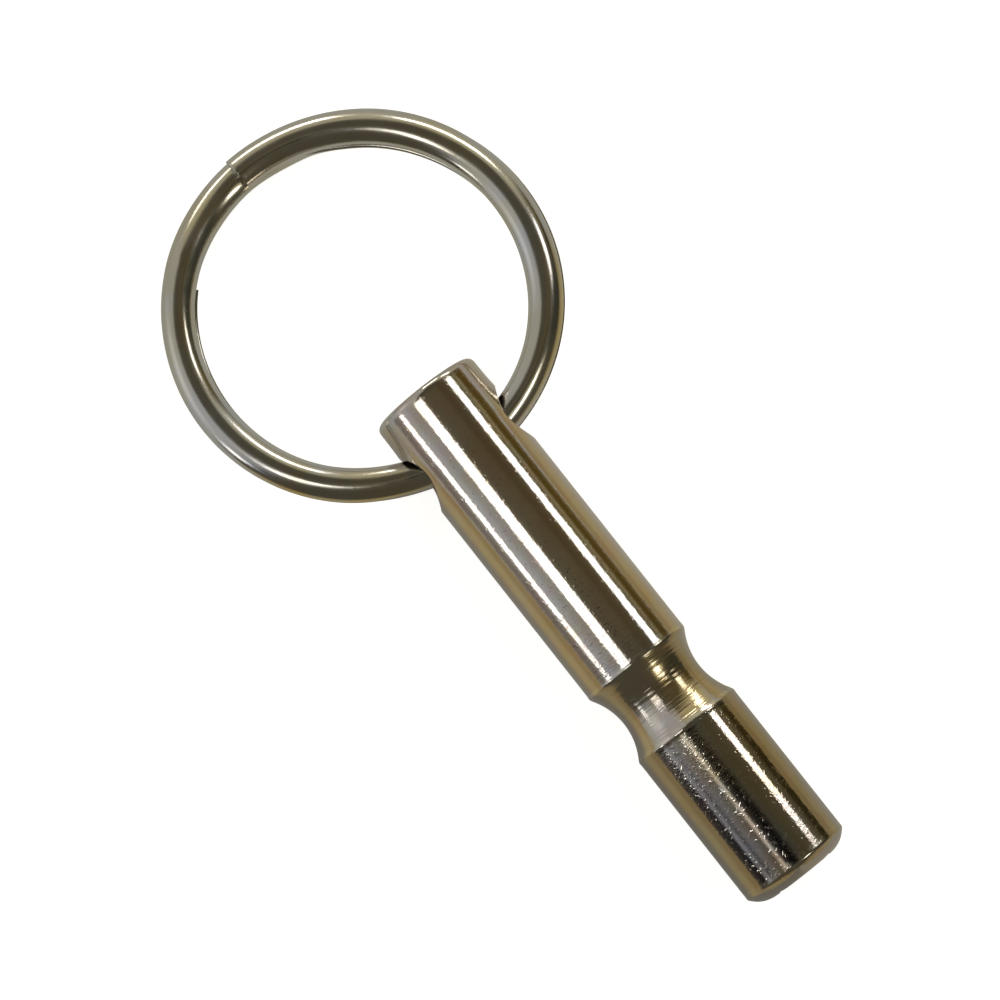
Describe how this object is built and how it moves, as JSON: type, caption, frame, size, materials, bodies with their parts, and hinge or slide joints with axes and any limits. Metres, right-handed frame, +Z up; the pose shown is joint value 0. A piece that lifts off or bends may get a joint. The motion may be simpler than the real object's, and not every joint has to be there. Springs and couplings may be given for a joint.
{
  "type": "radiator bleed key",
  "caption": "Round steel radiator bleed key with a turned waist groove and a square socket, on a split ring through a cross hole.",
  "frame": {"origin": "centre of the object's footprint, on the surface that the key and the ring's far edge lie on", "axes": "+X along the key towards its socket, +Y along the cross hole, +Z up"},
  "size_m": [0.077, 0.0342, 0.01],
  "materials": {
    "nickel_plated_bar": "bright nickel plate over turned steel, warm tint, fine turning marks in the groove, soft worn edges",
    "nickel_plated_wire": "bright nickel plate over drawn flat wire, fine lengthwise drawing lines"
  },
  "bodies": {
    "key": {"key_body": "nickel_plated_bar"},
    "ring": {"split_ring": "nickel_plated_wire"}
  },
  "joints": [
    {"name": "ring_swing", "type": "hinge", "parent": "key", "child": "ring", "pos_m": [-0.00618, -0.00068, 0.005], "axis": [0, 1, 0], "range_deg": [-158, 171]}
  ]
}
